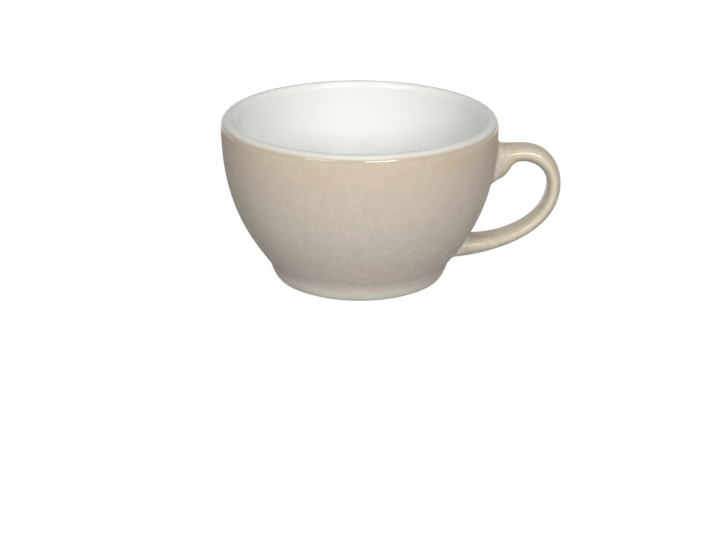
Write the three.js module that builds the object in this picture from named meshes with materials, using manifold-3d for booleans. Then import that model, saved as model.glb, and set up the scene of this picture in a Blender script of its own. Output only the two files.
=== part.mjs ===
// A cappuccino cup: a thick porcelain bowl on a foot ring, with a cast handle luted to its side.
// White glaze lines the bowl and its lip, coloured glaze covers the outside and the handle, and
// the ring that the cup stands on is bare clay. Millimetres and degrees, +Z up, handle along +X.

import * as THREE from "three";
import { mergeVertices } from "three/addons/utils/BufferGeometryUtils.js";
import Module from "manifold-3d";

// Bowl: finished sizes, over the glaze
const RIM_DIAMETER = 95;
const CUP_HEIGHT = 57.6;
const WALL_THICKNESS = 4.2;
const LIP_OUTER_ROUND = 2.6;
const WALL_LEAN = 53; // slope of the wall where it leaves the foot
const WALL_FOOT_PULL = 14.3; // how far that slope carries before the wall turns up
const WALL_RIM_PULL = 24; // how far the upright wall carries down from the lip
const FLOOR_THICKNESS = 4.6;
const FLOOR_SPRING_HEIGHT = 18.5; // outside height where the inside leaves the wall for the floor

// Foot
const FOOT_DIAMETER = 62.5; // at its waist, under the wall
const FOOT_HEIGHT = 6.5;
const FOOT_CONTACT_DIAMETER = 53.7; // outer edge of the flat that the cup stands on
const FOOT_LEAN = 27.5; // slope of the foot's outer face where it leaves the table
const FOOT_TOP_LEAN = 73; // slope of that face under the wall
const FOOT_BLEND_RADIUS = 9; // hollow between the foot and the wall
const FOOT_RING_WIDTH = 4;
const FOOT_RING_EASE = 0.4; // chamfer on the inner edge of that flat
const RECESS_DEPTH = 1.8;
const RECESS_ROUND = 0.8;

// Handle: finished sizes, over the glaze. Heights are on the bowl's wall or above the table
const HANDLE_REACH = 22; // beyond the rim
const HANDLE_THICKNESS = 4.9; // where it stands out furthest
const HANDLE_WIDTH = 10.2;
const HANDLE_ROOT_WIDTH = 11.6;
const HANDLE_ROUNDNESS = 2.6; // 2 is an ellipse, higher is boxier
const CROWN_REACH = 8.7; // beyond the rim
const CROWN_HEIGHT = 47.7;
const CROWN_THICKNESS = 5.7;
const BULGE_HEIGHT = 33.7; // where the handle stands out furthest
const UPPER_ROOT_TOP = 47.7;
const UPPER_ROOT_BOTTOM = 34;
const UPPER_HEEL_LEAN = 18.5; // slope of the underside where it leaves the wall
const LOWER_ROOT_TOP = 14.6;
const LOWER_ROOT_BOTTOM = 7;
const LOWER_ROOT_LEAN = 4; // slope of the handle's underside where it meets the wall
const LOWER_FLARE = 0.3; // share of the lower span over which the handle widens into its root

// Fullness of the handle's two outlines: the pull at each end of a span, as a share of its chord
const OUTER_PULLS = { arm: [0.33, 0.33], shoulder: [0.44, 0.39], tail: [0.37, 0.35] };
const INNER_PULLS = { arm: [0.62, 0.42], shoulder: [0.31, 0.45], tail: [0.38, 0.39] };

// Luting and glaze
const FILLET_RISE = 2; // reach of the slip fillets along the handle
const FILLET_TOP_SPREAD = 3.2; // reach of the upper one up the wall, over the handle
const FILLET_UNDER_SPREAD = 2.2; // reach of the lower one down the wall, under the handle
const FILLET_INNER_SPREAD = 1.2; // reach of both along the wall, inside the loop
const LUTING_GAP = 0.3; // film between the bowl and what is luted to it
const GLAZE = 0.4;
const GLAZE_SEAM = 0.3; // between the bowl's coat and the handle's coat
const COLOUR_LINE = 26; // angle up the lip's outer round where white meets colour
const BARE_SHARE = 0.25; // share of the foot's outer face, from the table up, wiped free of glaze

// Smoothness
const TURN_STEPS = 44;
const SECTION_SIDES = 20;
const WALL_STEPS = 7;
const FLOOR_STEPS = 6;
const ROUND_STEPS = 3;
const FILLET_STEPS = 3;
const HANDLE_STEPS = [4, 8, 10]; // root to crown, crown to bulge, bulge to lower root
const HALVINGS = 40; // of a range, in the search for a crossing
const MERGE_DISTANCE = 1e-4;

const CLAY = { color: 0xeeebe2, roughness: 0.6, metalness: 0 };
const SLIP = { color: 0xe6e1d5, roughness: 0.65, metalness: 0 };
const WHITE_GLAZE = { color: 0xf6f5ee, roughness: 0.12, metalness: 0 };
const OUTER_GLAZE = { color: 0xd2c3b2, roughness: 0.16, metalness: 0 };
const HANDLE_GLAZE = { color: 0xcfc0a6, roughness: 0.16, metalness: 0 };

const rimRadius = RIM_DIAMETER / 2;
const lipHeight = CUP_HEIGHT - LIP_OUTER_ROUND;
const contactRadius = FOOT_CONTACT_DIAMETER / 2;
const ringInnerRadius = contactRadius - FOOT_RING_WIDTH;
const recessRadius = ringInnerRadius - FOOT_RING_EASE - GLAZE;
const floorHeight = RECESS_DEPTH + GLAZE + FLOOR_THICKNESS;

const radians = THREE.MathUtils.degToRad;
const at = (x, y) => new THREE.Vector2(x, y);
const heading = (degrees) => at(Math.cos(radians(degrees)), Math.sin(radians(degrees)));

// Profiles run with the clay on their left, from under the foot, up the outside and down the inside.
// A station is a point of one, with the direction that faces out of the clay
const stationsOf = (curve, steps, first = 0) =>
  Array.from({ length: steps + 1 - first }, (_, i) => {
    const along = (i + first) / steps;
    const tangent = curve.getTangent(along);
    return { point: curve.getPoint(along), normal: at(tangent.y, -tangent.x) };
  });

const shifted = (stations, distance) =>
  stations.map(({ point, normal }) => ({
    point: point.clone().addScaledVector(normal, distance),
    normal,
  }));

const finished = (stations) => stations.map((s) => s.point);
const underGlaze = (stations) => finished(shifted(stations, -GLAZE));

const arc = (x, y, radius, from, to) =>
  new THREE.ArcCurve(x, y, radius, radians(from), radians(to), to < from);

// Where a line from one point meets a line through another
const meeting = (from, direction, through, slope) =>
  from.clone().addScaledVector(direction, through.clone().sub(from).cross(slope) / direction.cross(slope));

// A stretch of a curve, which may run backwards
function stretch(curve, from, to) {
  const along = (share) => THREE.MathUtils.lerp(from, to, share);
  return {
    getPoint: (share) => curve.getPoint(along(share)),
    getTangent: (share) => curve.getTangent(along(share)).multiplyScalar(Math.sign(to - from)),
  };
}

// Outside of the bowl: foot, hollow blend, wall and the lip up to the colour line
const waist = at(FOOT_DIAMETER / 2, FOOT_HEIGHT);
const footUp = heading(FOOT_TOP_LEAN);
const footOut = heading(FOOT_TOP_LEAN - 90);
const blendReach = FOOT_BLEND_RADIUS * Math.tan(radians(FOOT_TOP_LEAN - WALL_LEAN) / 2);
const blendStart = waist.clone().addScaledVector(footUp, -blendReach);
const blendCentre = blendStart.clone().addScaledVector(footOut, FOOT_BLEND_RADIUS);
const blend = arc(blendCentre.x, blendCentre.y, FOOT_BLEND_RADIUS, FOOT_TOP_LEAN + 90, WALL_LEAN + 90);
const contact = at(contactRadius, 0);
const clayFootTop = blendStart.clone().addScaledVector(footOut, -GLAZE);
const footFace = new THREE.QuadraticBezierCurve(
  contact,
  meeting(contact, heading(FOOT_LEAN), clayFootTop, footUp),
  clayFootTop,
);
const wallStart = blend.getPoint(1);
const wall = new THREE.CubicBezierCurve(
  wallStart,
  wallStart.clone().addScaledVector(heading(WALL_LEAN), WALL_FOOT_PULL),
  at(rimRadius, lipHeight - WALL_RIM_PULL),
  at(rimRadius, lipHeight),
);
const lipCentre = rimRadius - LIP_OUTER_ROUND;
const outside = [
  ...shifted(stationsOf(stretch(footFace, BARE_SHARE, 1), ROUND_STEPS), GLAZE),
  ...stationsOf(blend, ROUND_STEPS, 1),
  ...stationsOf(wall, WALL_STEPS, 1),
  ...stationsOf(arc(lipCentre, lipHeight, LIP_OUTER_ROUND, 0, COLOUR_LINE), ROUND_STEPS - 1, 1),
];

// Inside of the bowl: over the lip, down the wall at an even thickness, then round into the floor
const springAlong = paramWhere((along) => wall.getPoint(along).y - FLOOR_SPRING_HEIGHT);
const innerWall = shifted(stationsOf(stretch(wall, 1, springAlong), WALL_STEPS - 1), WALL_THICKNESS);
const spring = innerWall.at(-1);
const slant = -spring.normal.y / spring.normal.x; // sideways run of the inner wall for each unit of rise
const floor = new THREE.QuadraticBezierCurve(
  spring.point,
  at(spring.point.x + slant * (floorHeight - spring.point.y), floorHeight),
  at(0, floorHeight),
);
const lipInside = new THREE.EllipseCurve(
  lipCentre, lipHeight, WALL_THICKNESS - LIP_OUTER_ROUND, LIP_OUTER_ROUND, Math.PI / 2, Math.PI,
);
const liner = [
  ...stationsOf(arc(lipCentre, lipHeight, LIP_OUTER_ROUND, COLOUR_LINE, 90), ROUND_STEPS - 1),
  ...stationsOf(lipInside, ROUND_STEPS, 1),
  ...innerWall.slice(1),
  ...stationsOf(floor, FLOOR_STEPS, 1),
];

// Underside: the glazed recess from the axis outwards, then the bare ring
const recess = [
  { point: at(0, RECESS_DEPTH), normal: at(0, -1) },
  ...stationsOf(
    arc(recessRadius - RECESS_ROUND, RECESS_DEPTH - RECESS_ROUND, RECESS_ROUND, 90, 0),
    ROUND_STEPS,
  ),
];
const bareRing = [
  at(recessRadius + GLAZE, FOOT_RING_EASE),
  at(ringInnerRadius, 0),
  contact,
  footFace.getPoint(BARE_SHARE / 2),
];

// Where a rising function of 0 to 1 crosses zero
function paramWhere(signed) {
  let low = 0;
  let high = 1;
  for (let halving = 0; halving < HALVINGS; halving += 1) {
    const middle = (low + high) / 2;
    if (signed(middle) < 0) low = middle;
    else high = middle;
  }
  return (low + high) / 2;
}

// Radius of a rising profile at a height
function radiusAt(profile, height) {
  const above = profile.findIndex((p) => p.y > height);
  const upper = profile[above];
  const lower = profile[above - 1];
  return THREE.MathUtils.mapLinear(height, lower.y, upper.y, lower.x, upper.x);
}

const turned = (profile) =>
  new THREE.LatheGeometry(profile, TURN_STEPS).rotateX(Math.PI / 2);

// The back of a coat, which closes it at the axis or by coming round to its first point
const coatBack = (stations) => underGlaze(stations).reverse();

// Handle: an outer and an inner outline in the X-Z plane, each in three spans
const coatedWall = finished(outside);
const clayWall = underGlaze(outside);
const onWall = (height) => at(radiusAt(coatedWall, height), height);

function span(from, leaving, to, arriving, [leavingPull, arrivingPull]) {
  const chord = from.distanceTo(to);
  return new THREE.CubicBezierCurve(
    from,
    from.clone().addScaledVector(leaving, leavingPull * chord),
    to.clone().addScaledVector(arriving, -arrivingPull * chord),
    to,
  );
}

const OUTWARD = heading(0);
const HOMEWARD = heading(180);
const DOWN = heading(-90);
const crownTop = at(rimRadius + CROWN_REACH, CROWN_HEIGHT);
const crownUnder = at(crownTop.x, crownTop.y - CROWN_THICKNESS);
const bulgeOuter = at(rimRadius + HANDLE_REACH, BULGE_HEIGHT);
const bulgeInner = at(bulgeOuter.x - HANDLE_THICKNESS, bulgeOuter.y);
const lowerArrival = heading(180 + LOWER_ROOT_LEAN);
const outerOutline = [
  span(onWall(UPPER_ROOT_TOP), OUTWARD, crownTop, OUTWARD, OUTER_PULLS.arm),
  span(crownTop, OUTWARD, bulgeOuter, DOWN, OUTER_PULLS.shoulder),
  span(bulgeOuter, DOWN, onWall(LOWER_ROOT_BOTTOM), lowerArrival, OUTER_PULLS.tail),
];
const innerOutline = [
  span(onWall(UPPER_ROOT_BOTTOM), heading(UPPER_HEEL_LEAN), crownUnder, OUTWARD, INNER_PULLS.arm),
  span(crownUnder, OUTWARD, bulgeInner, DOWN, INNER_PULLS.shoulder),
  span(bulgeInner, DOWN, onWall(LOWER_ROOT_TOP), HOMEWARD, INNER_PULLS.tail),
];
const SPANS = outerOutline.length;

// Place along the handle, 0 at the upper root to 3 at the lower one
function alongOutline(outline, place) {
  const index = Math.min(Math.floor(place), SPANS - 1);
  return outline[index].getPoint(place - index);
}

function widthAt(place) {
  const upper = 1 - THREE.MathUtils.smoothstep(place, 0, 1);
  const lower = THREE.MathUtils.smoothstep(place, SPANS - LOWER_FLARE, SPANS);
  return THREE.MathUtils.lerp(HANDLE_WIDTH, HANDLE_ROOT_WIDTH, Math.max(upper, lower));
}

const squared = (wave) => Math.sign(wave) * Math.abs(wave) ** (2 / HANDLE_ROUNDNESS);

// One rounded section of the handle, grown outwards by a distance, spread by a share of the fillet's
// reach along the wall, and scaled about its middle
function section(place, grow, { spread = 0, scale = 1 } = {}) {
  const outer = alongOutline(outerOutline, place);
  const inner = alongOutline(innerOutline, place);
  const middle = outer.clone().add(inner).divideScalar(2);
  const half = outer.clone().sub(inner).divideScalar(2);
  const outerSpread = place < SPANS / 2 ? FILLET_TOP_SPREAD : FILLET_UNDER_SPREAD;
  return Array.from({ length: SECTION_SIDES }, (_, side) => {
    const angle = (2 * Math.PI * side) / SECTION_SIDES;
    const outerness = (1 + Math.cos(angle)) / 2;
    const reach = THREE.MathUtils.lerp(FILLET_INNER_SPREAD, outerSpread, outerness);
    const more = grow + spread * reach;
    const inPlane = half.clone().setLength((half.length() + more) * scale * squared(Math.cos(angle)));
    const halfWidth = (widthAt(place) / 2 + more) * scale;
    return new THREE.Vector3(
      middle.x + inPlane.x,
      halfWidth * squared(Math.sin(angle)),
      middle.y + inPlane.y,
    );
  });
}

// The same section laid on the bowl's clay, a stand-off away from it
const laidOnWall = (ring, standOff = LUTING_GAP) =>
  ring.map((p) => {
    const reach = radiusAt(clayWall, p.z) + standOff;
    return new THREE.Vector3(Math.sqrt(reach * reach - p.y * p.y), p.y, p.z);
  });

// Closed skin through rings of equal counts. A loop joins the last ring to the first
function skinned(rings, loop) {
  const positions = rings.flat().flatMap((p) => p.toArray());
  const corner = (ring, side) => (ring % rings.length) * SECTION_SIDES + (side % SECTION_SIDES);
  const place = (index) => new THREE.Vector3().fromArray(positions, index * 3);
  const triangles = [];
  const addTriangle = (a, b, c) => {
    const sides = [[a, b], [b, c], [c, a]];
    if (sides.every(([p, q]) => !place(p).equals(place(q)))) triangles.push(a, b, c);
  };
  for (let ring = 0; ring < rings.length - (loop ? 0 : 1); ring += 1) {
    for (let side = 0; side < SECTION_SIDES; side += 1) {
      const a = corner(ring, side);
      const b = corner(ring, side + 1);
      const c = corner(ring + 1, side + 1);
      const d = corner(ring + 1, side);
      if (place(a).distanceTo(place(c)) <= place(b).distanceTo(place(d))) {
        addTriangle(a, b, c);
        addTriangle(a, c, d);
      } else {
        addTriangle(a, b, d);
        addTriangle(b, c, d);
      }
    }
  }
  const geometry = new THREE.BufferGeometry();
  geometry.setAttribute("position", new THREE.Float32BufferAttribute(positions, 3));
  geometry.setIndex(signedVolume(positions, triangles) < 0 ? triangles.reverse() : triangles);
  return geometry;
}

function signedVolume(positions, triangles) {
  const corner = (i) => new THREE.Vector3().fromArray(positions, triangles[i] * 3);
  let volume = 0;
  for (let i = 0; i < triangles.length; i += 3) {
    volume += corner(i).dot(corner(i + 1).cross(corner(i + 2))) / 6;
  }
  return volume;
}

// A root: the clay section on the wall with its end cap, the slip fillet round it, the glaze over
// that, and the window in the bowl's coat
const CAP_SCALES = [0, 0.5];
const WINDOW_DEPTHS = [-GLAZE, 2 * GLAZE]; // from inside the clay to clear of the coat
function rootAt(end, inward) {
  const start = alongOutline(outerOutline, end);
  const inwards = (share) => end + inward * share;
  const risen = (share) => alongOutline(outerOutline, inwards(share)).distanceTo(start);
  const place = inwards(paramWhere((share) => risen(share) - FILLET_RISE));
  const filletFrom = (grow) => {
    const corner = laidOnWall(section(end, grow));
    const edge = laidOnWall(section(end, grow, { spread: 1 }));
    const top = section(place, grow);
    const curves = corner.map((p, side) => new THREE.QuadraticBezierCurve3(edge[side], p, top[side]));
    return Array.from({ length: FILLET_STEPS + 1 }, (_, step) =>
      curves.map((curve) => curve.getPoint(step / FILLET_STEPS)),
    );
  };
  return {
    place,
    corner: laidOnWall(section(end, -GLAZE)),
    cap: CAP_SCALES.map((scale) => laidOnWall(section(end, -GLAZE, { scale }))),
    slip: filletFrom(-GLAZE),
    glaze: filletFrom(0),
    window: WINDOW_DEPTHS.map((standOff) =>
      [...CAP_SCALES, 1].map((scale) =>
        laidOnWall(section(end, GLAZE_SEAM, { spread: 1, scale }), standOff),
      ),
    ),
  };
}

const upperRoot = rootAt(0, 1);
const lowerRoot = rootAt(SPANS, -1);

// Places of the free sections, between the tops of the two fillets
const freePlaces = HANDLE_STEPS.flatMap((steps, index) => {
  const from = Math.max(index, upperRoot.place);
  const to = Math.min(index + 1, lowerRoot.place);
  return Array.from({ length: steps }, (_, i) => THREE.MathUtils.lerp(from, to, i / steps));
}).slice(1);
const freeSections = (grow) => freePlaces.map((place) => section(place, grow));

const clayHandle = [
  ...upperRoot.cap,
  upperRoot.corner,
  upperRoot.slip.at(-1),
  ...freeSections(-GLAZE),
  lowerRoot.slip.at(-1),
  lowerRoot.corner,
  ...lowerRoot.cap.toReversed(),
];
const sleeve = (upper, lower, grow) => [...upper, ...freeSections(grow), ...lower.toReversed()];
const handleCoat = [
  ...sleeve(upperRoot.slip, lowerRoot.slip, -GLAZE),
  ...sleeve(upperRoot.glaze, lowerRoot.glaze, 0).reverse(),
];
const slipCollar = (root) => [root.corner, ...root.slip];
const windowPlug = ({ window: [inner, outer] }) => skinned([...inner, ...outer.toReversed()], false);

// Cutting, with the vertices that faces share merged first
const wasm = await Module();
wasm.setup();

function solidOf(geometry) {
  const bare = geometry.clone();
  bare.deleteAttribute("normal");
  bare.deleteAttribute("uv");
  const merged = mergeVertices(bare, MERGE_DISTANCE);
  return new wasm.Manifold(
    new wasm.Mesh({
      numProp: 3,
      vertProperties: merged.getAttribute("position").array,
      triVerts: new Uint32Array(merged.index.array),
    }),
  );
}

function geometryOf(solid) {
  const { vertProperties, triVerts } = solid.getMesh();
  const geometry = new THREE.BufferGeometry();
  geometry.setAttribute("position", new THREE.BufferAttribute(vertProperties, 3));
  geometry.setIndex(new THREE.BufferAttribute(triVerts, 1));
  return geometry;
}

const cup = new THREE.Group();
cup.position.x = -HANDLE_REACH / 2; // the origin is on the table, midway between rim and handle

function add(name, geometry, look) {
  const mesh = new THREE.Mesh(geometry, new THREE.MeshStandardMaterial(look));
  mesh.name = name;
  cup.add(mesh);
}

const bowlProfile = [...underGlaze(recess), ...bareRing, ...clayWall, ...underGlaze(liner).slice(1)];
const outerCoat = turned([...coatedWall, ...coatBack(outside), coatedWall[0]]);
const windowed = [upperRoot, lowerRoot].reduce(
  (shell, root) => shell.subtract(solidOf(windowPlug(root))),
  solidOf(outerCoat),
);

add("porcelain_bowl", turned(bowlProfile), CLAY);
add("handle", skinned(clayHandle, false), CLAY);
add("upper_slip_joint", skinned(slipCollar(upperRoot), true), SLIP);
add("lower_slip_joint", skinned(slipCollar(lowerRoot), true), SLIP);
add("inner_glaze", turned([...coatBack(liner), ...finished(liner)]), WHITE_GLAZE);
add("outer_glaze", geometryOf(windowed), OUTER_GLAZE);
add("handle_glaze", skinned(handleCoat, true), HANDLE_GLAZE);
add("foot_glaze", turned([...finished(recess), ...coatBack(recess)]), WHITE_GLAZE);

export default cup;
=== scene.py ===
"""A glazed porcelain cappuccino cup: bowl, coats of glaze and handle, on a plain studio floor.

Lengths are metres. Half sections of the turned pieces are pairs of radius and height.
"""

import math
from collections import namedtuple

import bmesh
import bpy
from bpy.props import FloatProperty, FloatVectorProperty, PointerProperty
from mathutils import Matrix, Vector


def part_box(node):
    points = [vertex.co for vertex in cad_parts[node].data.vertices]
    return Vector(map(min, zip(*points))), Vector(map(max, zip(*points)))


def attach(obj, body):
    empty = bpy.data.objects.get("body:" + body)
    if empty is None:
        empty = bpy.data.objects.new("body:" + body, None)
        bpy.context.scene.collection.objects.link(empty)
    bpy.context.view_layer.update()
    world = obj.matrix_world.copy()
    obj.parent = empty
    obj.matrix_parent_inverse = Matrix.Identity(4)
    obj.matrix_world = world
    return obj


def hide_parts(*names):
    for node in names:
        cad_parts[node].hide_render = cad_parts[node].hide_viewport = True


bl_info = {
    "name": "Cappuccino Cup",
    "version": (1, 0, 0),
    "blender": (4, 5, 0),
    "location": "View3D > Sidebar > Cup",
    "description": "Builds a glazed porcelain cappuccino cup and the studio that it stands in",
    "category": "Object",
}

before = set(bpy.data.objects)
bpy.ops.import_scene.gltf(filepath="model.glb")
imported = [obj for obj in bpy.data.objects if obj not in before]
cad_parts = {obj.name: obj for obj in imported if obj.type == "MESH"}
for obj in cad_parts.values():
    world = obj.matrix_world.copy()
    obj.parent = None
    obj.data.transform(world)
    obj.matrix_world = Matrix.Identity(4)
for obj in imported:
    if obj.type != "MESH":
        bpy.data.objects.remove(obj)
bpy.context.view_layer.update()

COAT_LOW, COAT_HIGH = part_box("outer_glaze")
LINING_LOW, LINING_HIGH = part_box("inner_glaze")
_, HANDLE_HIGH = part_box("handle_glaze")
_, FOOT_COAT_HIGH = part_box("foot_glaze")
AXIS_X = (LINING_LOW.x + LINING_HIGH.x) / 2
# Thickness of the glaze
GLAZE = 0.0004

QUARTER = math.pi / 2

# Smoothness: steps along the curves, and the angle from which an edge stays sharp
TURN_STEPS = 160
WALL_STEPS = 40
FLOOR_STEPS = 28
ROUND_STEPS = 12
FOOT_STEPS = 24
SECTION_SIDES = 56
SPAN_STEPS = (20, 36, 48)
FILLET_STEPS = 10
SHARP_ANGLE = math.radians(40)
# How the foot's points crowd towards the rolled edge of its glaze, where 1 is evenly
FOOT_EASE = 1.6
# Distance under which points are one, and how closely a crossing is searched for
WELD = 1e-7
CLOSENESS = 1e-7
# Attribute of the handle's points that says how clear of the wall they are
HANDLE_SHARE = "handle_share"


# Settings

def length(name, description, default):
    return FloatProperty(
        name=name, description=description, default=default, min=0, subtype="DISTANCE", unit="LENGTH"
    )


def angle(name, description, degrees):
    return FloatProperty(
        name=name, description=description, default=math.radians(degrees), subtype="ANGLE", unit="ROTATION"
    )


def share(name, description, default):
    return FloatProperty(
        name=name, description=description, default=default, min=0, max=1, subtype="FACTOR"
    )


def number(name, description, default):
    return FloatProperty(name=name, description=description, default=default, min=0)


def colour(name, description, default):
    return FloatVectorProperty(
        name=name, description=description, default=default, min=0, max=1, size=3, subtype="COLOR"
    )


class BowlSizes(bpy.types.PropertyGroup):
    """Finished sizes of the bowl, over its glaze"""

    rim_diameter: length("Rim diameter", "Across the outside of the rim", COAT_HIGH.y - COAT_LOW.y)
    height: length("Height", "From the table to the top of the lip", LINING_HIGH.z)
    wall: length("Wall", "Thickness of the wall", 0.0042)
    lip_round: length("Lip round", "Radius of the lip's outer edge", 0.0026)
    wall_lean: angle("Wall lean", "Slope of the wall where it leaves the foot", 53)
    wall_foot_pull: length("Foot pull", "How far that slope carries before the wall turns up", 0.0143)
    wall_rim_pull: length("Rim pull", "How far the upright wall carries down from the lip", 0.024)
    floor: length("Floor", "Thickness of the floor", 0.0046)
    floor_spring: length("Floor spring", "Outside height where the inside turns into the floor", 0.0185)
    foot_diameter: length("Foot diameter", "At the waist under the wall", 0.0625)
    foot_height: length("Foot height", "From the table to the waist", 0.0065)
    contact_diameter: length("Contact diameter", "Outer edge of the flat that the cup stands on", 0.0537)
    foot_lean: angle("Foot lean", "Slope of the foot's face where it leaves the table", 27.5)
    foot_top_lean: angle("Foot top lean", "Slope of that face under the wall", 73)
    foot_blend: length("Foot blend", "Radius of the hollow between foot and wall", 0.009)
    ring_width: length("Ring width", "Width of the flat that the cup stands on", 0.004)
    ring_ease: length("Ring ease", "Chamfer on the inner edge of that flat", 0.0004)
    recess: length("Recess", "Depth of the recess under the foot", FOOT_COAT_HIGH.z - GLAZE)
    recess_round: length("Recess round", "Radius in the corner of the recess", 0.0008)
    glaze: length("Glaze", "Thickness of the glaze", GLAZE)
    glaze_roll: length("Glaze roll", "Reach of the rolled edge of the glaze at the foot", 0.0007)
    colour_line: angle("Colour line", "Angle up the lip's outer edge where white meets colour", 26)
    bare_share: share("Bare share", "Share of the foot's face that is wiped free of glaze", 0.25)


class HandleSizes(bpy.types.PropertyGroup):
    """Finished sizes of the handle, over its glaze. Heights are above the table"""

    reach: length("Reach", "Beyond the rim", HANDLE_HIGH.x - COAT_HIGH.x)
    thickness: length("Thickness", "Of the strap where it stands out furthest", 0.0049)
    width: length("Width", "Of the strap", 0.0102)
    root_width: length("Root width", "Of the strap where it meets the bowl", 0.0116)
    roundness: number("Roundness", "2 is an ellipse, higher is boxier", 2.6)
    crown_reach: length("Crown reach", "Highest place of the loop, beyond the rim", 0.0087)
    crown_height: length("Crown height", "Highest place of the loop", 0.0477)
    crown_thickness: length("Crown thickness", "Of the strap at the highest place", 0.0057)
    bulge_height: length("Bulge height", "Where the loop stands out furthest", 0.0337)
    upper_top: length("Upper root top", "Where the loop leaves the wall, above", 0.0477)
    upper_bottom: length("Upper root bottom", "Where the loop leaves the wall, below", 0.034)
    heel_lean: angle("Heel lean", "Slope of the underside where it leaves the wall", 18.5)
    lower_top: length("Lower root top", "Where the loop comes home, above", 0.0146)
    lower_bottom: length("Lower root bottom", "Where the loop comes home, below", 0.007)
    lower_lean: angle("Lower lean", "Slope of the underside where it comes home", 4)
    lower_flare: share("Lower flare", "Share of the lower span that widens into the root", 0.3)
    fillet_rise: length("Fillet rise", "Reach of the root fillets along the handle", 0.002)
    top_spread: length("Top spread", "Reach of the upper fillet up the wall", 0.0032)
    under_spread: length("Under spread", "Reach of the lower fillet down the wall", 0.0022)
    inner_spread: length("Inner spread", "Reach of both fillets along the wall, inside the loop", 0.0012)
    skirt: length("Skirt", "Reach of the fillet's hidden edge under the wall's face", 0.0004)
    skirt_depth: length("Skirt depth", "Depth of that edge", 0.00005)
    plug_depth: length("Plug depth", "Depth of the handle's ends in the glaze", 0.0003)
    colour_reach: length("Colour reach", "From the wall to where the handle has its own tone", 0.006)


class GlazeLook(bpy.types.PropertyGroup):
    """Colours and grain of the glazes and the clay, and the light, shade, highlight and glints painted on
    the handle
    """

    band: colour("Rim band", "Warm band under the lip", (0.625, 0.547, 0.438))
    upper: colour("Upper wall", "Beige of the upper wall", (0.62, 0.538, 0.458))
    middle: colour("Middle wall", "Greyer beige of the middle", (0.597, 0.547, 0.474))
    lower: colour("Lower wall", "Grey taupe above the foot", (0.582, 0.52, 0.485))
    foot: colour("Foot band", "Pale band where the glaze thins on the foot", (0.695, 0.71, 0.62))
    ochre: colour("Ochre", "Patches of a warmer tone under the lip", (0.60, 0.47, 0.29))
    blush: colour("Blush", "Tint of the pinkish clouds in the coat", (0.99, 0.96, 0.943))
    sage: colour("Sage", "Tint of the greenish clouds in the coat", (0.966, 0.979, 0.941))
    handle: colour("Handle", "Warm beige of the handle", (0.545, 0.465, 0.345))
    # Painted light: the handle's upper faces made paler, as if lit from above
    painted_top_light: colour("Settled", "Paler glaze on the handle's upper faces", (0.635, 0.545, 0.44))
    # Painted highlight: a paler band where the strap's faces look front or back and a little up
    painted_edge_highlight: colour("Ridge", "Glaze that breaks paler over the strap's edges", (0.635, 0.57, 0.43))
    # Painted shade: the handle's lower faces made darker, as if turned away from the lamps
    painted_under_shade: colour("Thinned", "Darker glaze on the handle's lower faces", (0.37, 0.345, 0.265))
    pool: colour("Pool", "Glaze that has gathered in the handle's roots", (0.66, 0.65, 0.53))
    # Painted glints: bright specks of highlight in the glaze gathered at the roots
    painted_glint: colour("Fleck", "Bright flecks in that glaze", (0.90, 0.84, 0.74))
    speckle: colour("Speckle", "Pale crystals in the glaze", (0.76, 0.71, 0.64))
    white: colour("White glaze", "Inside of the bowl", (0.845, 0.845, 0.81))
    lip: colour("Lip", "Where the white glaze thins over the lip", (0.775, 0.77, 0.73))
    hem: colour("Hem", "Tint of the coat's darker edge under the lip", (0.88, 0.865, 0.835))
    clay: colour("Clay", "Bare porcelain of the foot ring", (0.80, 0.77, 0.70))
    roughness: share("Glaze roughness", "Roughness of the glassy surfaces", 0.1)
    wall_gloss: share("Wall gloss", "Glassy share of the outer wall's surface", 0.08)
    lip_gloss: share("Lip gloss", "Glassy share of the coat's surface at the lip", 1.0)
    handle_gloss: share("Handle gloss", "Glassy share of the handle's surface", 0.75)
    grain: length("Speckle grain", "Size of a speckle", 0.0008)
    mottle: length("Mottle grain", "Size of a cloud of tone in the glaze", 0.009)


class StudioSettings(bpy.types.PropertyGroup):
    """Camera, lamps and floor"""

    lens: number("Lens", "Focal length in millimetres", 101.44)
    camera_distance: length("Camera distance", "In front of the cup's axis", 0.6637)
    camera_height: length("Camera height", "Above the table", 0.2505)
    camera_pitch: angle("Camera pitch", "Below the horizon", 20.596)
    camera_yaw: angle("Camera yaw", "To the left of straight ahead", 0.0314)
    camera_roll: angle("Camera roll", "About the line of sight", 0.258)
    floor_size: length("Floor size", "Side of the square floor", 8)
    floor_tone: share("Floor tone", "Reflectance of the floor", 0.36)
    floor_gain: number("Floor gain", "Brightness of the floor as it is seen, over its own", 7)
    floor_veil: share("Floor veil", "Share of plain white in the floor as it is seen", 0.85)
    room_tone: share("Room tone", "Brightness of the room as it is seen", 0.6)
    room_light: share("Room light", "Strength of the light from all round", 0.085)
    left_light: share("Left light", "Of the left softbox, where 1 shows a colour as it is", 0.24)
    right_light: share("Right light", "Of the right softbox, where 1 shows a colour as it is", 0.53)
    front_light: share("Front light", "Of the low front panel, where 1 shows a colour as it is", 0.15)
    top_light: share("Top light", "Of the high softbox, where 1 shows a colour as it is", 0.28)
    back_light: share("Back light", "Of the low back panel, where 1 shows a colour as it is", 0.7)


# Half sections

Station = namedtuple("Station", "point outward")


def bezier(points, share):
    """Point and heading of a Bezier curve of any order"""
    while len(points) > 2:
        points = [a.lerp(b, share) for a, b in zip(points, points[1:])]
    return points[0].lerp(points[1], share), (points[1] - points[0]).normalized()


def heading(angle):
    return Vector((math.cos(angle), math.sin(angle)))


def curve_of(*points):
    return lambda share: bezier(points, share)


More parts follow.
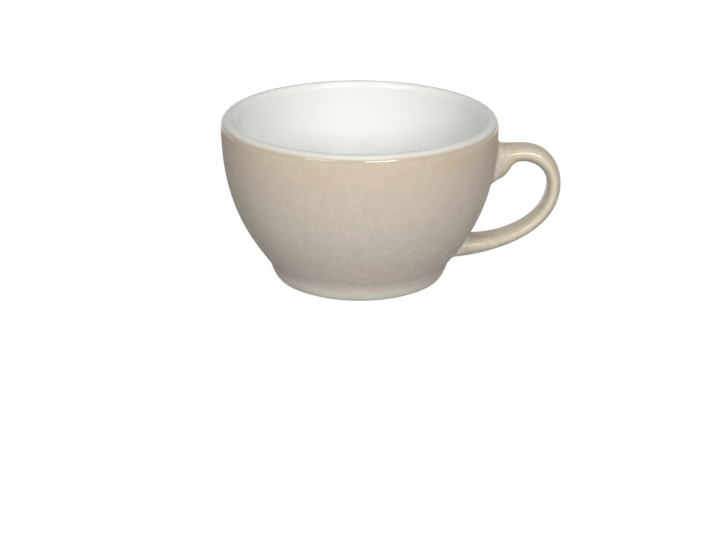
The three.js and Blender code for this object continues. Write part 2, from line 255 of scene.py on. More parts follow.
def oval(centre, width, height, begin, end):
    """Part of an ellipse that reaches this wide and high from its centre"""
    turn = math.copysign(1, end - begin)

    def curve(share):
        spoke = heading(begin + (end - begin) * share)
        ahead = Vector((-width * spoke.y, height * spoke.x)) * turn
        return centre + Vector((width * spoke.x, height * spoke.y)), ahead.normalized()

    return curve


def arc(centre, radius, begin, end):
    return oval(centre, radius, radius, begin, end)


def meeting(point, direction, through, slope):
    """Where a line from one point meets a line through another"""
    return point + direction * ((through - point).cross(slope) / direction.cross(slope))


def backwards(curve, begin, end):
    """A stretch of a curve, run from a late share to an early one"""

    def reversed_curve(share):
        point, ahead = curve(begin + (end - begin) * share)
        return point, -ahead

    return reversed_curve


def stations(curve, steps, ease=1):
    """Points of a curve with the direction out of the clay, which lies on its left"""
    made = []
    for step in range(steps + 1):
        point, ahead = curve((step / steps) ** ease)
        made.append(Station(point, Vector((ahead.y, -ahead.x))))
    return made


def shifted(line, distance):
    return [Station(s.point + s.outward * distance, s.outward) for s in line]


def points_of(line):
    return [s.point for s in line]


def share_where(signed):
    """Share at which a rising function crosses zero"""
    low, high = 0.0, 1.0
    while high - low > CLOSENESS:
        middle = (low + high) / 2
        if signed(middle) < 0:
            low = middle
        else:
            high = middle
    return (low + high) / 2


def rolled(line, thickness, reach):
    """A coat's face over a line, thinning to nothing at its first point in a rolled edge"""
    face = []
    travelled = 0
    for index, s in enumerate(line):
        if index:
            travelled += (s.point - line[index - 1].point).length
        rest = 1 - min(travelled / reach, 1)
        face.append(Station(s.point + s.outward * thickness * math.sqrt(1 - rest * rest), s.outward))
    return face


class BowlSection:
    """Lines of the bowl's half section, from under the foot, up the outside and down the inside"""

    def __init__(self, sizes):
        self.rim = sizes.rim_diameter / 2
        self.lip_height = sizes.height - sizes.lip_round
        self.lip_centre = Vector((self.rim - sizes.lip_round, self.lip_height))
        self.contact = Vector((sizes.contact_diameter / 2, 0))
        foot, blend = self.foot_curves(sizes)
        wall = self.wall_curve(sizes, blend(1)[0])
        self.lay_coat(sizes, foot, blend, wall)
        self.lay_lining(sizes, wall)
        self.lay_underside(sizes, foot)

    def foot_curves(self, sizes):
        """The foot's clay face from the table up, and the hollow that leads its glaze into the wall"""
        waist = Vector((sizes.foot_diameter / 2, sizes.foot_height))
        foot_up = heading(sizes.foot_top_lean)
        foot_out = heading(sizes.foot_top_lean - QUARTER)
        blend_reach = sizes.foot_blend * math.tan((sizes.foot_top_lean - sizes.wall_lean) / 2)
        blend_start = waist - foot_up * blend_reach
        foot_top = blend_start - foot_out * sizes.glaze
        elbow = meeting(self.contact, heading(sizes.foot_lean), foot_top, foot_up)
        foot = curve_of(self.contact, elbow, foot_top)
        blend_centre = blend_start + foot_out * sizes.foot_blend
        begin, end = QUARTER + sizes.foot_top_lean, QUARTER + sizes.wall_lean
        return foot, arc(blend_centre, sizes.foot_blend, begin, end)

    def wall_curve(self, sizes, start):
        """Outside of the wall, from the hollow over the foot to the lip"""
        return curve_of(
            start,
            start + heading(sizes.wall_lean) * sizes.wall_foot_pull,
            Vector((self.rim, self.lip_height - sizes.wall_rim_pull)),
            Vector((self.rim, self.lip_height)),
        )

    def lay_coat(self, sizes, foot, blend, wall):
        """Face and back of the outer coat, from its rolled edge on the foot to the colour line"""
        bare = sizes.bare_share
        clay_foot_face = stations(lambda t: foot(bare + (1 - bare) * t), FOOT_STEPS, FOOT_EASE)
        upper = [
            *stations(blend, ROUND_STEPS)[1:],
            *stations(wall, WALL_STEPS)[1:],
            *stations(arc(self.lip_centre, sizes.lip_round, 0, sizes.colour_line), ROUND_STEPS)[1:],
        ]
        self.coat_face = points_of(rolled(clay_foot_face, sizes.glaze, sizes.glaze_roll) + upper)
        self.coat_back = points_of(clay_foot_face + shifted(upper, -sizes.glaze))

    def lay_lining(self, sizes, wall):
        """Face and back of the white lining, from the colour line over the lip to the floor's middle"""
        spring = share_where(lambda t: wall(t)[0].y - sizes.floor_spring)
        inner_wall = shifted(stations(backwards(wall, 1, spring), WALL_STEPS), sizes.wall)
        last = inner_wall[-1]
        slant = -last.outward.y / last.outward.x
        floor_height = sizes.recess + sizes.glaze + sizes.floor
        floor = curve_of(
            last.point,
            Vector((last.point.x + slant * (floor_height - last.point.y), floor_height)),
            Vector((0, floor_height)),
        )
        lip_inside = oval(self.lip_centre, sizes.wall - sizes.lip_round, sizes.lip_round, QUARTER, math.pi)
        lining = [
            *stations(arc(self.lip_centre, sizes.lip_round, sizes.colour_line, QUARTER), ROUND_STEPS),
            *stations(lip_inside, ROUND_STEPS)[1:],
            *inner_wall[1:],
            *stations(floor, FLOOR_STEPS)[1:],
        ]
        self.lining_face = points_of(lining)
        self.lining_back = points_of(shifted(lining, -sizes.glaze))

    def lay_underside(self, sizes, foot):
        """Face and back of the recess's coat, and the bare ring round it that the cup stands on"""
        ring_inner = self.contact.x - sizes.ring_width
        recess_edge = ring_inner - sizes.ring_ease - sizes.glaze
        corner = Vector((recess_edge - sizes.recess_round, sizes.recess - sizes.recess_round))
        recess = [
            Station(Vector((0, sizes.recess)), Vector((0, -1))),
            *stations(arc(corner, sizes.recess_round, QUARTER, 0), ROUND_STEPS),
        ]
        self.recess_face = points_of(recess)
        self.recess_back = points_of(shifted(recess, -sizes.glaze))
        bare = sizes.bare_share
        self.bare_ring = [
            Vector((recess_edge + sizes.glaze, sizes.ring_ease)),
            Vector((ring_inner, 0)),
            *points_of(stations(lambda t: foot(bare * t), ROUND_STEPS))[:-1],
        ]

    def radius_at(self, height):
        """Outside radius at a height, over the glaze"""
        above = next(i for i, p in enumerate(self.coat_face) if p.y > height)
        low, high = self.coat_face[above - 1], self.coat_face[above]
        return low.x + (high.x - low.x) * (height - low.y) / (high.y - low.y)

    def on_wall(self, height):
        return Vector((self.radius_at(height), height))


# Handle

# Fullness of the two outlines: the pull at each end of a span, as a share of its chord
OUTER_PULLS = ((0.33, 0.33), (0.44, 0.39), (0.37, 0.35))
INNER_PULLS = ((0.62, 0.42), (0.31, 0.45), (0.38, 0.39))
SPANS = len(OUTER_PULLS)
# Sizes of the rings that close an end of the handle, from its middle out
PLUG_SCALES = (0.0, 0.5, 0.9)


def outline(knots, pulls):
    """Cubic spans through knots of (place, heading), pulled by shares of their chords"""
    spans = []
    for (begin, leaving), (end, arriving), (first, second) in zip(knots, knots[1:], pulls):
        chord = (end - begin).length
        spans.append((begin, begin + leaving * first * chord, end - arriving * second * chord, end))
    return spans


def smooth(value, low, high):
    """0 below low, 1 above high, easing between them"""
    part = min(max((value - low) / (high - low), 0), 1)
    return part * part * (3 - 2 * part)


class HandleForm:
    """A flared strap loop, as rings of points from one root on the bowl's wall to the other"""

    def __init__(self, sizes, bowl):
        self.sizes = sizes
        self.bowl = bowl
        out, home, down = heading(0), heading(math.pi), heading(-QUARTER)
        crown = Vector((bowl.rim + sizes.crown_reach, sizes.crown_height))
        bulge = Vector((bowl.rim + sizes.reach, sizes.bulge_height))
        lower_home = heading(math.pi + sizes.lower_lean)
        heel = heading(sizes.heel_lean)
        self.outer = outline(
            [
                (bowl.on_wall(sizes.upper_top), out),
                (crown, out),
                (bulge, down),
                (bowl.on_wall(sizes.lower_bottom), lower_home),
            ],
            OUTER_PULLS,
        )
        self.inner = outline(
            [
                (bowl.on_wall(sizes.upper_bottom), heel),
                (crown + down * sizes.crown_thickness, out),
                (bulge + home * sizes.thickness, down),
                (bowl.on_wall(sizes.lower_top), home),
            ],
            INNER_PULLS,
        )

    def on_outline(self, spans, place):
        """Place runs from 0 at the upper root to 3 at the lower one"""
        index = min(int(place), SPANS - 1)
        return bezier(spans[index], place - index)[0]

    def width_at(self, place):
        upper = 1 - smooth(place, 0, 1)
        lower = smooth(place, SPANS - self.sizes.lower_flare, SPANS)
        return self.sizes.width + (self.sizes.root_width - self.sizes.width) * max(upper, lower)

    def section(self, place, grow=0.0, spread=0.0, scale=1.0):
        """One rounded section, grown outwards, spread by a share of the fillet's reach along the wall,
        and scaled about its middle"""
        sizes = self.sizes
        outer = self.on_outline(self.outer, place)
        inner = self.on_outline(self.inner, place)
        middle = (outer + inner) / 2
        half = (outer - inner) / 2
        outer_spread = sizes.top_spread if place < SPANS / 2 else sizes.under_spread
        power = 2 / sizes.roundness
        ring = []
        for side in range(SECTION_SIDES):
            wave = heading(2 * math.pi * side / SECTION_SIDES)
            outerness = (1 + wave.x) / 2
            reach = sizes.inner_spread + (outer_spread - sizes.inner_spread) * outerness
            more = grow + spread * reach
            along, across = (math.copysign(abs(w) ** power, w) * scale for w in wave)
            in_plane = middle + half * along * (1 + more / half.length)
            ring.append(Vector((in_plane.x, (self.width_at(place) / 2 + more) * across, in_plane.y)))
        return ring

    def laid(self, ring, stand_off=0.0):
        """A ring moved along X on to the bowl's wall"""
        placed = []
        for p in ring:
            radius = self.bowl.radius_at(p.z) + stand_off
            placed.append(Vector((math.sqrt(radius * radius - p.y * p.y), p.y, p.z)))
        return placed

    def root(self, end, inward):
        """Rings of one root from inside the wall to the top of its fillet, and the place of that top"""
        sizes = self.sizes
        start = self.on_outline(self.outer, end)
        risen = share_where(
            lambda t: (self.on_outline(self.outer, end + inward * t) - start).length - sizes.fillet_rise
        )
        place = end + inward * risen
        edge = self.laid(self.section(end, spread=1))
        corner = self.laid(self.section(end))
        top = self.section(place)
        plug = [self.laid(self.section(end, scale=s), -sizes.plug_depth) for s in PLUG_SCALES]
        skirt = self.laid(self.section(end, sizes.skirt, spread=1), -sizes.skirt_depth)
        rings = [*plug, skirt]
        for step in range(FILLET_STEPS + 1):
            part = step / FILLET_STEPS
            rings.append([bezier(corners, part)[0] for corners in zip(edge, corner, top)])
        return rings, place

    def rings(self):
        upper, first = self.root(0, 1)
        lower, last = self.root(SPANS, -1)
        free = []
        for index, steps in enumerate(SPAN_STEPS):
            begin, end = max(index, first), min(index + 1, last)
            free += [begin + (end - begin) * step / steps for step in range(steps)]
        return [*upper, *(self.section(place) for place in free[1:]), *reversed(lower)]

    def wallward(self, point):
        """0 on the bowl's wall, rising to 1 where the handle is clear of it"""
        gap = math.hypot(point.x, point.y) - self.bowl.radius_at(point.z)
        return smooth(gap, 0, self.sizes.colour_reach)


# Meshes

def finished_object(name, form):
    """An object from a form, smooth but for its true edges"""
    bmesh.ops.remove_doubles(form, verts=form.verts, dist=WELD)
    bmesh.ops.recalc_face_normals(form, faces=form.faces)
    mesh = bpy.data.meshes.new(name)
    form.to_mesh(mesh)
    form.free()
    mesh.shade_smooth()
    mesh.set_sharp_from_angle(angle=SHARP_ANGLE)
    piece = bpy.data.objects.new(name, mesh)
    bpy.context.scene.collection.objects.link(piece)
    return piece


def turned(name, profile, loop):
    """A half section spun about the cup's axis. A loop joins its last point to its first"""
    form = bmesh.new()
    verts = [form.verts.new((AXIS_X + p.x, 0, p.y)) for p in profile]
    for a, b in zip(verts, verts[1:] + verts[:1] if loop else verts[1:]):
        form.edges.new((a, b))
    bmesh.ops.spin(
        form,
        geom=form.verts[:] + form.edges[:],
        cent=(AXIS_X, 0, 0),
        axis=(0, 0, 1),
        angle=2 * math.pi,
        steps=TURN_STEPS,
        use_merge=True,
    )
    return finished_object(name, form)


def skinned(name, rings):
    """A closed skin through rings of equal counts, whose end rings are single points"""
    form = bmesh.new()
    rows = [[form.verts.new((AXIS_X + p.x, p.y, p.z)) for p in ring] for ring in rings]
    for low, high in zip(rows, rows[1:]):
        for side in range(SECTION_SIDES):
            after = (side + 1) % SECTION_SIDES
            form.faces.new((low[side], low[after], high[after], high[side]))
    return finished_object(name, form)


def settle(piece, material, slot, *nodes):
    """Hand a finished piece over to the frame"""
    piece.data.materials.append(material)
    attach(piece, "root")
    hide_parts(*nodes)


# Shaders

def open_socket(sockets, key):
    """A socket by its index, or by its name among those in use"""
    if isinstance(key, int):
        return sockets[key]
    return next(s for s in sockets if s.name == key and s.enabled)


class Shade:
    """A shader socket that takes part in Python arithmetic"""

    def __init__(self, tree, socket=None):
        self.tree = tree
        self.socket = socket

    def node(self, kind, settings, sockets, output=0):
        """A new node's output, after its settings and then its sockets are given"""
        made = self.tree.nodes.new("ShaderNode" + kind)
        for name, value in settings.items():
            if name == "stops":
                lay_stops(made.color_ramp, value)
            else:
                setattr(made, name, value)
        for key, value in sockets.items():
            socket = open_socket(made.inputs, key)
            if isinstance(value, Shade):
                self.tree.links.new(value.socket, socket)
            else:
                socket.default_value = value
        return Shade(self.tree, open_socket(made.outputs, output) if made.outputs else None)

    def maths(self, operation, first, second):
        return self.node("Math", {"operation": operation}, {0: first, 1: second})

    def __add__(self, other):
        return self.maths("ADD", self, other)

    def __radd__(self, other):
        return self.maths("ADD", other, self)

    def __sub__(self, other):
        return self.maths("SUBTRACT", self, other)

    def __rsub__(self, other):
        return self.maths("SUBTRACT", other, self)

    def __mul__(self, other):
        return self.maths("MULTIPLY", self, other)

    def __rmul__(self, other):
        return self.maths("MULTIPLY", other, self)

    def __truediv__(self, other):
        return self.maths("DIVIDE", self, other)

    def __rtruediv__(self, other):
        return self.maths("DIVIDE", other, self)

    def __abs__(self):
        return self.maths("ABSOLUTE", self, 0)

    def along(self, axis):
        """One coordinate of a vector"""
        return self.node("SeparateXYZ", {}, {0: self}, axis)

    def clouds(self, grain, detail=2.0, stretch=(1, 1, 1)):
        """Noise from 0 to 1 over a point, with features of about a grain's size"""
        scale = tuple(s / grain for s in stretch)
        point = self.node("VectorMath", {"operation": "MULTIPLY"}, {0: self, 1: scale}, "Vector")
        return self.node("TexNoise", {}, {"Vector": point, "Scale": 1.0, "Detail": detail})

    def pattern(self, kind, grain):
        """A pattern over a point: plain noise, or how far the noise has passed the pattern's rise"""
        noise = self.clouds(grain * kind.size, kind.detail, kind.stretch)
        return noise.step(*kind.rise) if kind.rise else noise

    def step(self, low, high):
        """0 below low, 1 above high, easing between them"""
        return self.node(
            "MapRange",
            {"interpolation_type": "SMOOTHSTEP"},
            {"Value": self, "From Min": low, "From Max": high},
        )

    def mix(self, first, second, blend="MIX"):
        """From the first colour to the second by this factor"""
        return self.node(
            "Mix",
            {"data_type": "RGBA", "blend_type": blend},
            {"Factor": self, "A": first, "B": second},
            "Result",
        )


def lay_stops(ramp, stops):
    """Place a ramp's stops, given as rising places and colours"""
    ramp.interpolation = "CARDINAL"
    while len(ramp.elements) < len(stops):
        ramp.elements.new(1.0)
    for element, (place, tone) in zip(ramp.elements, stops):
        element.position = place
        element.color = tone


def opaque(tone):
    return (*tone, 1.0)


def new_material(name):
    material = bpy.data.materials.new(name)
    material.use_nodes = True
    material.node_tree.nodes.clear()
    return material, Shade(material.node_tree)


def surface(shade, **sockets):
    """A Principled surface on a material's output"""
    named = {key.replace("_", " "): value for key, value in sockets.items()}
    body = shade.node("BsdfPrincipled", {}, named)
    shade.node("OutputMaterial", {}, {"Surface": body})


def point_on(shade):
    """Point on a piece, in the piece's own space"""
    return shade.node("TexCoord", {}, {}, "Object")


def radius_on_cup(shade, point):
    """Distance of a point from the cup's axis"""
    level = shade.node("VectorMath", {"operation": "MULTIPLY"}, {0: point, 1: (1, 1, 0)}, "Vector")
    return shade.node("VectorMath", {"operation": "DISTANCE"}, {0: level, 1: (AXIS_X, 0, 0)}, "Value")


def dimpled(shade, height, depth):
    """Normal of a surface with a relief of this depth"""
    return shade.node("Bump", {}, {"Height": height, "Distance": depth, "Strength": 1.0}, "Normal")


# Patterns: size in mottles or speckle grains, how finely the noise is broken up, the two levels of noise
# between which the pattern comes, and its scale along each axis, where less than 1 draws it out
Pattern = namedtuple("Pattern", "size detail rise stretch", defaults=(None, (1, 1, 1)))
DRIFT = Pattern(3, 2.0)
HUES = Pattern(0.7, 3.0, (0.35, 0.65))
PATCHES = Pattern(2.2, 2.0, (0.35, 0.7))
STRAP_PATCHES = Pattern(0.8, 2.0, (0.48, 0.68))
# Painted glints of highlight, in the glaze gathered at the handle's roots
PAINTED_GLINTS = Pattern(1.6, 0.0, (0.7, 0.78))
CRYSTALS = Pattern(1, 3.0, (0.45, 0.75), (1, 1, 0.5))
RUNS = Pattern(1.4, 2.0, (0.4, 0.75), (1, 1, 0.12))
SHADOWS = Pattern(0.4, 4.0, (0.3, 0.7))
MILK = Pattern(2, 3.0)
CLAY_GRAIN = Pattern(0.5, 4.0)
CLAY_CLOUDS = Pattern(1, 3.0)
NOISE_MIDDLE = 0.5

# Shares by which these tint what lies under them
PATCH_SHARE = 0.45
STRAP_PATCH_SHARE = 0.5
POOL_SHARE = 0.7
# Share of the painted glints of highlight
PAINTED_GLINT_SHARE = 0.7
SHADOW_SHARE = 0.12
MILK_SHARE = 0.06
CLAY_CLOUD_SHARE = 0.35
# Shares of pale crystals and runs at the lip, and how much more there is low on the wall
CRYSTAL_SHARE = 0.14
CRYSTAL_GAIN = 0.14
RUN_SHARE = 0.06
RUN_GAIN = 0.14

# Heights in cup heights at which the coat has its four tones, and how far these wander
LOWER_LEVEL = 0.12
MIDDLE_LEVEL = 0.50
UPPER_LEVEL = 0.80
BAND_LEVEL = 0.93
TIDE = 0.1
# Heights in cup heights between which the ochre patches come and go
PATCH_RISE = (0.78, 0.88)
PATCH_FALL = (0.92, 0.97)
# Heights in cup heights between which crystals and runs grow fewer
CRYSTAL_FADE = (0.2, 0.9)
# Heights in cup heights between which the coat turns glassy at the lip
LIP_TURN = (0.94, 0.97)
# Heights in cup heights between which the coat's darker edge comes
HEM_RISE = (0.955, 0.966)
# Heights in foot heights between which the pale foot passes into the wall, and its wander in metres
FOOT_FADE = (0.36, 0.86)
FOOT_TIDE = 0.002
# Radii in rim radii between which the white glaze thins over the lip
LIP_THINS = (0.90, 0.94)
# Radii in rim radii between which the coat's colour shows through it
LIP_STAINS = (0.978, 0.9945)
# Upwardness of the handle's surface between which painted light comes in on its upper faces, and between
# which painted shade fades from its lower faces
PAINTED_LIGHT_RISE = (0.35, 1.0)
PAINTED_SHADE_FALL = (-0.7, 0.4)
# How far the painted highlight along the strap's edge looks up, and how squarely the surface has to face
# that way
HIGHLIGHT_LEAN = math.radians(14)
HIGHLIGHT_RISE = (0.9, 0.995)
# Handle shares between which glaze has gathered in the roots
POOL_RISE = (0.0, 0.04)
POOL_FALL = (0.08, 0.4)

# Roughness under the glassy surface and of bare clay, and what crystals, milkiness and grain add
BEIGE_ROUGHNESS = 0.5
CRYSTAL_ROUGHNESS = 0.2
MILK_ROUGHNESS = 0.04
CLAY_ROUGHNESS = 0.62
GRAIN_ROUGHNESS = 0.2
GLASS_IOR = 1.5
# Low waves of the white glaze and grain of the clay
WAVE_GRAIN = 0.014
WAVE_DETAIL = 1.0
WAVE_DEPTH = 0.00008
CLAY_GRAIN_DEPTH = 0.00003


def wall_tone(shade, look, bowl, point, height):
    """Warm under the lip with ochre patches, greyer downwards, and pale where it thins on the foot"""
    drift = point.pattern(DRIFT, look.mottle) - NOISE_MIDDLE
    level = height / bowl.height + drift * TIDE
    stops = [
        (LOWER_LEVEL, opaque(look.lower)),
        (MIDDLE_LEVEL, opaque(look.middle)),
        (UPPER_LEVEL, opaque(look.upper)),
        (BAND_LEVEL, opaque(look.band)),
    ]
    tone = shade.node("ValToRGB", {"stops": stops}, {"Fac": level}, "Color")
    patches = point.pattern(PATCHES, look.mottle)
    patches = patches * level.step(*PATCH_RISE) * (1 - level.step(*PATCH_FALL))
    tone = (PATCH_SHARE * patches).mix(tone, opaque(look.ochre))
    foot_share = (height + drift * FOOT_TIDE) / bowl.foot_height
    tone = (1 - foot_share.step(*FOOT_FADE)).mix(tone, opaque(look.foot))
    hue = point.pattern(HUES, look.mottle)
    tone = hue.mix(tone, opaque(look.sage), "MULTIPLY")
    return (1 - hue).mix(tone, opaque(look.blush), "MULTIPLY")


def strap_tone(shade, look, point):
    """The handle's tone, with painted light on its upper faces, a painted highlight along its edges and
    painted shade on its lower faces
    """
    facing = shade.node("NewGeometry", {}, {}, "Normal")
    upward = facing.along("Z")
    edge = abs(facing.along("Y")) * math.cos(HIGHLIGHT_LEAN) + upward * math.sin(HIGHLIGHT_LEAN)
    # Painted light on the upper faces, then painted shade on the lower faces
    tone = upward.step(*PAINTED_LIGHT_RISE).mix(opaque(look.handle), opaque(look.painted_top_light))
    tone = upward.step(*PAINTED_SHADE_FALL).mix(opaque(look.painted_under_shade), tone)
    # Painted highlight along the strap's edges
    tone = edge.step(*HIGHLIGHT_RISE).mix(tone, opaque(look.painted_edge_highlight))
    patches = point.pattern(STRAP_PATCHES, look.mottle)
    return (STRAP_PATCH_SHARE * patches).mix(tone, opaque(look.ochre))


def pooled(tone, look, point, clear):
    """A tone with glaze that has gathered in the handle's roots, dotted with painted glints of highlight
    """
    gathered = clear.step(*POOL_RISE) * (1 - clear.step(*POOL_FALL))
    tone = (POOL_SHARE * gathered).mix(tone, opaque(look.pool))
    # Painted glints of highlight in the gathered glaze
    glints = point.pattern(PAINTED_GLINTS, look.grain)
    return (PAINTED_GLINT_SHARE * glints * gathered).mix(tone, opaque(look.painted_glint))


def beige_glaze(look, bowl, name):
    """Reactive glaze of the outside and the handle: more speckled downwards, glassy at the lip"""
    material, shade = new_material(name)
    point = point_on(shade)
    height = point.along("Z")
    level = height / bowl.height
    clear = shade.node("Attribute", {"attribute_name": HANDLE_SHARE}, {}, "Fac")
    tone = clear.mix(wall_tone(shade, look, bowl, point, height), strap_tone(shade, look, point))
    tone = pooled(tone, look, point, clear)
    lowness = 1 - level.step(*CRYSTAL_FADE)
    crystals = point.pattern(CRYSTALS, look.grain)
    runs = point.pattern(RUNS, look.grain)
    pale = crystals * (CRYSTAL_SHARE + CRYSTAL_GAIN * lowness) + runs * (RUN_SHARE + RUN_GAIN * lowness)
    tone = pale.mix(tone, opaque(look.speckle))
    shadows = point.pattern(SHADOWS, look.mottle)
    tone = (SHADOW_SHARE * shadows).mix(tone, opaque(look.upper), "MULTIPLY")
    tone = level.step(*HEM_RISE).mix(tone, opaque(look.hem), "MULTIPLY")
    glassy = look.wall_gloss + level.step(*LIP_TURN) * (look.lip_gloss - look.wall_gloss)
    surface(
        shade,
        Base_Color=tone,
        Roughness=BEIGE_ROUGHNESS + CRYSTAL_ROUGHNESS * crystals,
        Specular_IOR_Level=0.0,
        Coat_Weight=glassy + clear * (look.handle_gloss - look.wall_gloss),
        Coat_Roughness=look.roughness,
        Coat_IOR=GLASS_IOR,
    )
    return material


def white_glaze(look, bowl, name):
    """Glossy white glaze with the faintest clouding, thinner over the lip"""
    material, shade = new_material(name)
    point = point_on(shade)
    milk = point.pattern(MILK, look.mottle)
    tone = (MILK_SHARE * milk).mix(opaque(look.white), opaque(look.clay))
    outerness = radius_on_cup(shade, point) / (bowl.rim_diameter / 2)
    tone = outerness.step(*LIP_THINS).mix(tone, opaque(look.lip))
    tone = outerness.step(*LIP_STAINS).mix(tone, opaque(look.band))
    waves = point.clouds(WAVE_GRAIN, WAVE_DETAIL)
    surface(
        shade,
        Base_Color=tone,
        Roughness=look.roughness + MILK_ROUGHNESS * milk,
        Normal=dimpled(shade, waves, WAVE_DEPTH),
        IOR=GLASS_IOR,
    )
    return material


def bare_clay(look, name):
    """Fired porcelain, matt and finely grained"""
    material, shade = new_material(name)
    point = point_on(shade)
    grain = point.pattern(CLAY_GRAIN, look.grain)
    clouds = point.pattern(CLAY_CLOUDS, look.mottle)
    tone = (CLAY_CLOUD_SHARE * clouds).mix(opaque(look.clay), opaque(look.speckle))
    surface(
        shade,
        Base_Color=tone,
        Roughness=CLAY_ROUGHNESS + GRAIN_ROUGHNESS * grain,
        Normal=dimpled(shade, grain, CLAY_GRAIN_DEPTH),
    )
    return material


# Operators

class CUP_OT_porcelain_bowl(bpy.types.Operator):
    """Turn the porcelain bowl, which shows at its bare foot ring"""

    bl_idname = "cup.porcelain_bowl"
    bl_label = "Porcelain Bowl"

    def execute(self, context):
        section = BowlSection(context.scene.cup_bowl)
        profile = [
            *section.recess_back,
            *section.bare_ring,
            *section.coat_back,
            *section.lining_back[1:],
        ]
        piece = turned("porcelain_bowl_body", profile, loop=False)
        settle(piece, bare_clay(context.scene.cup_look, "bare_clay"), "bisque", "porcelain_bowl")
        return {"FINISHED"}


class CUP_OT_white_lining(bpy.types.Operator):
    """Line the bowl and its lip with white glaze"""

    bl_idname = "cup.white_lining"
    bl_label = "White Lining"

    def execute(self, context):
        scene = context.scene
        section = BowlSection(scene.cup_bowl)
        profile = [*reversed(section.lining_back), *section.lining_face]
        piece = turned("white_lining", profile, loop=False)
        material = white_glaze(scene.cup_look, scene.cup_bowl, "white_lining_glaze")
        settle(piece, material, "white_glaze", "inner_glaze")
        return {"FINISHED"}


class CUP_OT_outer_coat(bpy.types.Operator):
    """Coat the outside of the bowl with beige glaze"""

    bl_idname = "cup.outer_coat"
    bl_label = "Outer Coat"

    def execute(self, context):
        scene = context.scene
        section = BowlSection(scene.cup_bowl)
        piece = turned("outer_coat", [*section.coat_face, *reversed(section.coat_back)], loop=True)
        material = beige_glaze(scene.cup_look, scene.cup_bowl, "beige_glaze")
        settle(piece, material, "beige_glaze", "outer_glaze")
        return {"FINISHED"}


class CUP_OT_glazed_handle(bpy.types.Operator):
    """Skin the handle and the fillets of its two roots"""

    bl_idname = "cup.glazed_handle"
    bl_label = "Glazed Handle"

    def execute(self, context):
        scene = context.scene
        form = HandleForm(scene.cup_handle, BowlSection(scene.cup_bowl))
        piece = skinned("glazed_handle", form.rings())
        shares = piece.data.attributes.new(HANDLE_SHARE, "FLOAT", "POINT")
        axis = Vector((AXIS_X, 0, 0))
        for vert, held in zip(piece.data.vertices, shares.data):
            held.value = form.wallward(vert.co - axis)
        material = beige_glaze(scene.cup_look, scene.cup_bowl, "handle_glaze")
        hidden = ("handle", "upper_slip_joint", "lower_slip_joint", "handle_glaze")
        settle(piece, material, "handle_glaze", *hidden)
        return {"FINISHED"}


class CUP_OT_recess_coat(bpy.types.Operator):
    """Glaze the recess under the foot"""

    bl_idname = "cup.recess_coat"
    bl_label = "Recess Coat"

    def execute(self, context):
        scene = context.scene
        section = BowlSection(scene.cup_bowl)
        profile = [*section.recess_face, *reversed(section.recess_back)]
        piece = turned("recess_coat", profile, loop=False)
        material = white_glaze(scene.cup_look, scene.cup_bowl, "recess_glaze")
        settle(piece, material, "white_glaze", "foot_glaze")
        return {"FINISHED"}


# Studio

# Lamps, in degrees as seen from the cup. Azimuth 0 is the camera's side, rising to the right
LampPlace = namedtuple("LampPlace", "azimuth elevation width height")
LEFT_SOFTBOX = LampPlace(azimuth=-32, elevation=20, width=23, height=12)
RIGHT_SOFTBOX = LampPlace(azimuth=18, elevation=20, width=23, height=15)
TOP_SOFTBOX = LampPlace(azimuth=0, elevation=62, width=40, height=20)
FRONT_PANEL = LampPlace(azimuth=0, elevation=13, width=50, height=22)
BACK_PANEL = LampPlace(azimuth=180, elevation=10, width=60, height=16)
# From the cup to the lamps, in metres
LAMP_DISTANCE = 2.5
# Floor: squares along a side, and the faint clouds in its paper
FLOOR_SQUARES = 8
PAPER_GRAIN = 0.4
PAPER_SHARE = 0.03
WHITE = (1, 1, 1, 1)
# Width of the camera's sensor in millimetres
SENSOR_WIDTH = 36


def seen_rays(shade):
    """1 for the rays that show a background: from the camera, from gloss and through glass"""
    kinds = ("Is Camera Ray", "Is Glossy Ray", "Is Transmission Ray")
    camera, gloss, glass = (shade.node("LightPath", {}, {}, kind) for kind in kinds)
    return shade.maths("MINIMUM", camera + gloss + glass, 1.0)


def add_lamp(name, place, light, glossy=True):
    """An area lamp aimed at the middle of the cup. One that isn't glossy has no reflection"""
    azimuth, elevation, width, height = (math.radians(degrees) for degrees in place)
    lamp = bpy.data.lights.new(name, "AREA")
    lamp.shape = "RECTANGLE"
    lamp.size = 2 * LAMP_DISTANCE * math.tan(width / 2)
    lamp.size_y = 2 * LAMP_DISTANCE * math.tan(height / 2)
    lamp.energy = light * (math.pi * LAMP_DISTANCE) ** 2
    holder = bpy.data.objects.new(name, lamp)
    level = math.cos(elevation)
    away = Vector((level * math.sin(azimuth), -level * math.cos(azimuth), math.sin(elevation)))
    middle = Vector((AXIS_X, 0, LINING_HIGH.z / 2))
    holder.location = middle + away * LAMP_DISTANCE
    holder.rotation_euler = away.to_track_quat("Z", "Y").to_euler()
    holder.visible_camera = False
    holder.visible_glossy = glossy
    bpy.context.scene.collection.objects.link(holder)


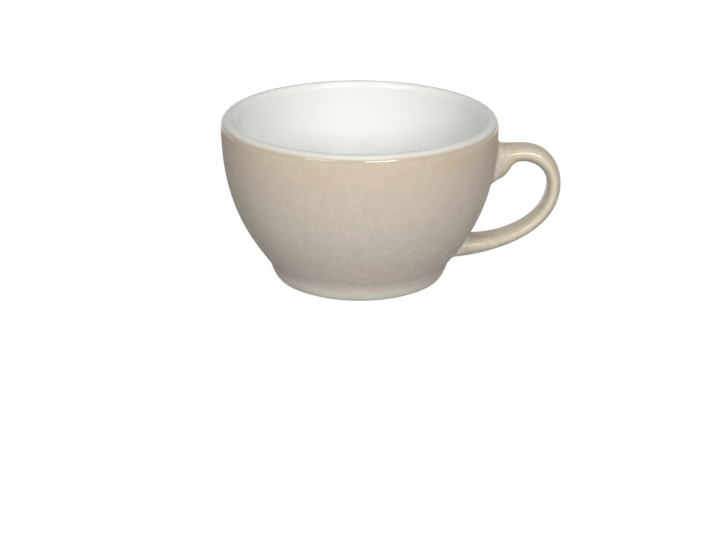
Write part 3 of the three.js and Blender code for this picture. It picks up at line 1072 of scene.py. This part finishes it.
class CUP_OT_studio(bpy.types.Operator):
    """Set up the floor, lamps and camera"""

    bl_idname = "cup.studio"
    bl_label = "Studio"

    def execute(self, context):
        settings = context.scene.cup_studio
        self.lay_floor(settings)
        self.light_room(context.scene, settings)
        add_lamp("left_softbox", LEFT_SOFTBOX, settings.left_light)
        add_lamp("right_softbox", RIGHT_SOFTBOX, settings.right_light)
        add_lamp("top_softbox", TOP_SOFTBOX, settings.top_light)
        add_lamp("front_panel", FRONT_PANEL, settings.front_light, glossy=False)
        add_lamp("back_panel", BACK_PANEL, settings.back_light, glossy=False)
        self.set_camera(context.scene, settings)
        context.scene.view_settings.view_transform = "Standard"
        return {"FINISHED"}

    def lay_floor(self, settings):
        form = bmesh.new()
        bmesh.ops.create_grid(
            form, x_segments=FLOOR_SQUARES, y_segments=FLOOR_SQUARES, size=settings.floor_size / 2
        )
        floor = finished_object("studio_floor", form)
        material, shade = new_material("floor_paper")
        seen = seen_rays(shade)
        own = settings.floor_tone
        gained = own * settings.floor_gain
        paper = seen.mix((own, own, own, 1), (gained, gained, gained, 1))
        clouds = point_on(shade).clouds(PAPER_GRAIN)
        paper = (PAPER_SHARE * clouds).mix(paper, WHITE)
        lit = shade.node("BsdfDiffuse", {}, {"Color": paper})
        plain = shade.node("Emission", {}, {"Strength": 1.0})
        mixed = shade.node("MixShader", {}, {0: seen * settings.floor_veil, 1: lit, 2: plain})
        shade.node("OutputMaterial", {}, {"Surface": mixed})
        floor.data.materials.append(material)

    def light_room(self, scene, settings):
        world = bpy.data.worlds.new("studio_room")
        world.use_nodes = True
        world.node_tree.nodes.clear()
        shade = Shade(world.node_tree)
        seen = seen_rays(shade)
        strength = settings.room_light + seen * (settings.room_tone - settings.room_light)
        room = shade.node("Background", {}, {"Color": WHITE, "Strength": strength})
        shade.node("OutputWorld", {}, {"Surface": room})
        scene.world = world

    def set_camera(self, scene, settings):
        camera = bpy.data.cameras.new("camera")
        camera.lens = settings.lens
        camera.sensor_width = SENSOR_WIDTH
        holder = bpy.data.objects.new("camera", camera)
        yaw = Matrix.Rotation(settings.camera_yaw, 4, "Z")
        pitch = Matrix.Rotation(QUARTER - settings.camera_pitch, 4, "X")
        roll = Matrix.Rotation(settings.camera_roll, 4, "Z")
        place = Matrix.Translation((AXIS_X, -settings.camera_distance, settings.camera_height))
        holder.matrix_world = place @ yaw @ pitch @ roll
        scene.collection.objects.link(holder)
        scene.camera = holder


class CUP_PT_panel(bpy.types.Panel):
    """Pieces of the cup and their settings"""

    bl_label = "Cappuccino Cup"
    bl_idname = "CUP_PT_panel"
    bl_space_type = "VIEW_3D"
    bl_region_type = "UI"
    bl_category = "Cup"

    def draw(self, context):
        for operator in OPERATORS:
            self.layout.operator(operator.bl_idname)
        for name in SETTINGS:
            box = self.layout.box()
            group = getattr(context.scene, name)
            for key in group.__annotations__:
                box.prop(group, key)


SETTINGS = {
    "cup_bowl": BowlSizes,
    "cup_handle": HandleSizes,
    "cup_look": GlazeLook,
    "cup_studio": StudioSettings,
}
OPERATORS = (
    CUP_OT_porcelain_bowl,
    CUP_OT_white_lining,
    CUP_OT_outer_coat,
    CUP_OT_glazed_handle,
    CUP_OT_recess_coat,
    CUP_OT_studio,
)
CLASSES = (*SETTINGS.values(), *OPERATORS, CUP_PT_panel)


def register():
    for cls in CLASSES:
        bpy.utils.register_class(cls)
    for name, group in SETTINGS.items():
        setattr(bpy.types.Scene, name, PointerProperty(type=group))


def unregister():
    for name in SETTINGS:
        delattr(bpy.types.Scene, name)
    for cls in reversed(CLASSES):
        bpy.utils.unregister_class(cls)


def main():
    register()
    bpy.ops.cup.porcelain_bowl()
    bpy.ops.cup.white_lining()
    bpy.ops.cup.outer_coat()
    bpy.ops.cup.glazed_handle()
    bpy.ops.cup.recess_coat()
    bpy.ops.cup.studio()


if __name__ == "__main__":
    main()
